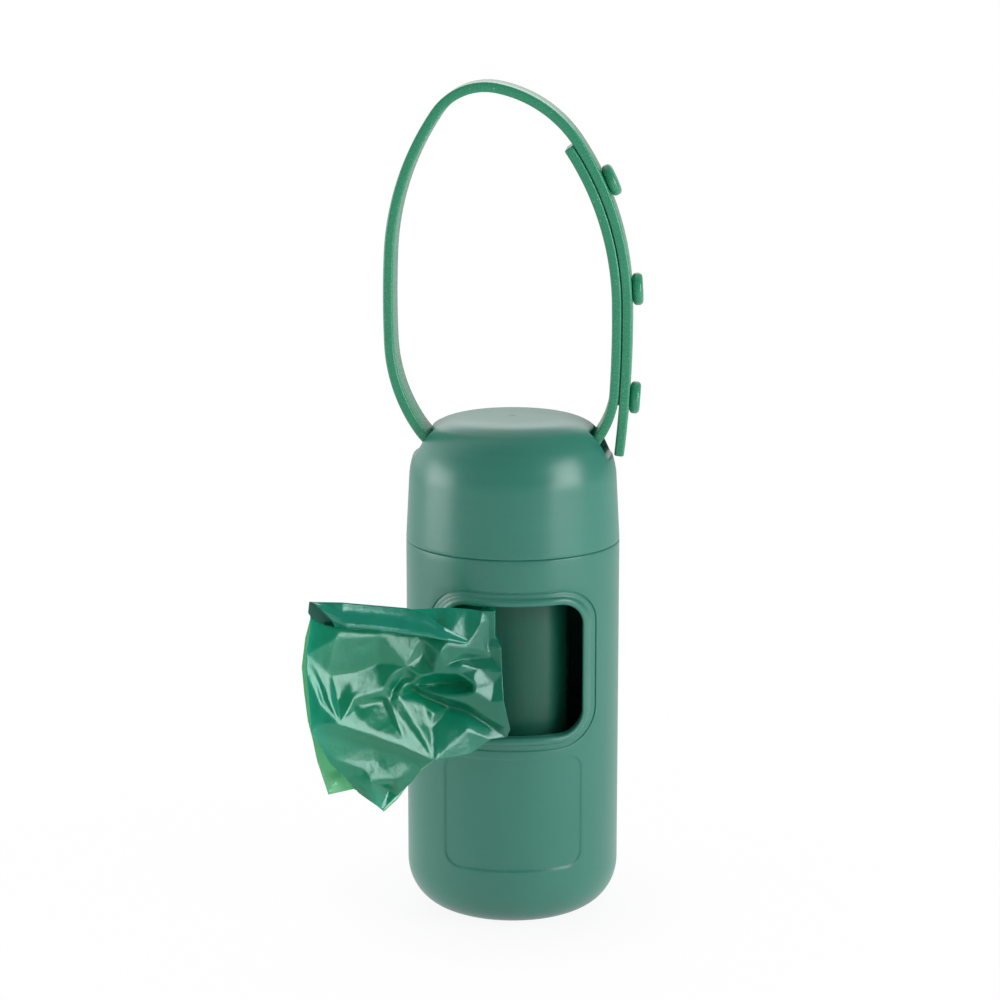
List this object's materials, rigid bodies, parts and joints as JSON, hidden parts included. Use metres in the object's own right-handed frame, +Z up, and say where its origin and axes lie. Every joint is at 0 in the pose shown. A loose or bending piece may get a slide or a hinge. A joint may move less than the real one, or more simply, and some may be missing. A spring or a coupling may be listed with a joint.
{
  "type": "dog waste bag dispenser",
  "caption": "Pocket dispenser: round body with a bag window, domed lift-off cap, buttoned carry strap and a roll of bags on a paper core.",
  "frame": {"origin": "centre of the flat foot that the dispenser stands on", "axes": "+Z up along the body's axis towards the cap and strap, -Y out through the bag window, +X to the right seen from the window"},
  "size_m": [0.0656, 0.0541, 0.1637],
  "materials": {
    "body_plastic": "satin",
    "cap_plastic": "satin",
    "strap_silicone": "matt with fine specks",
    "bag_film_roll": "glossy film, tightly wound",
    "core_paper": "matt",
    "bag_film": "glossy thin film"
  },
  "bodies": {
    "housing": {"housing": "body_plastic", "pulled_bag": "bag_film"},
    "cap": {"cap": "cap_plastic"},
    "strap": {"strap": "strap_silicone"},
    "roll": {"bag_roll": "bag_film_roll", "roll_core": "core_paper"}
  },
  "joints": [
    {"name": "cap_lift", "type": "slide", "parent": "housing", "child": "cap", "axis": [0, 0, 1], "range_m": [0, 0.04]},
    {"name": "strap_tilt", "type": "hinge", "parent": "cap", "child": "strap", "pos_m": [0, 0, 0.0945], "axis": [0.9976, -0.0698, 0], "range_deg": [-5, 5], "stiffness_Nm_per_rad": 0.02},
    {"name": "roll_spin", "type": "hinge", "parent": "housing", "child": "roll", "pos_m": [-0.0035, 0, 0.035], "axis": [0, 0, 1], "continuous": true}
  ]
}
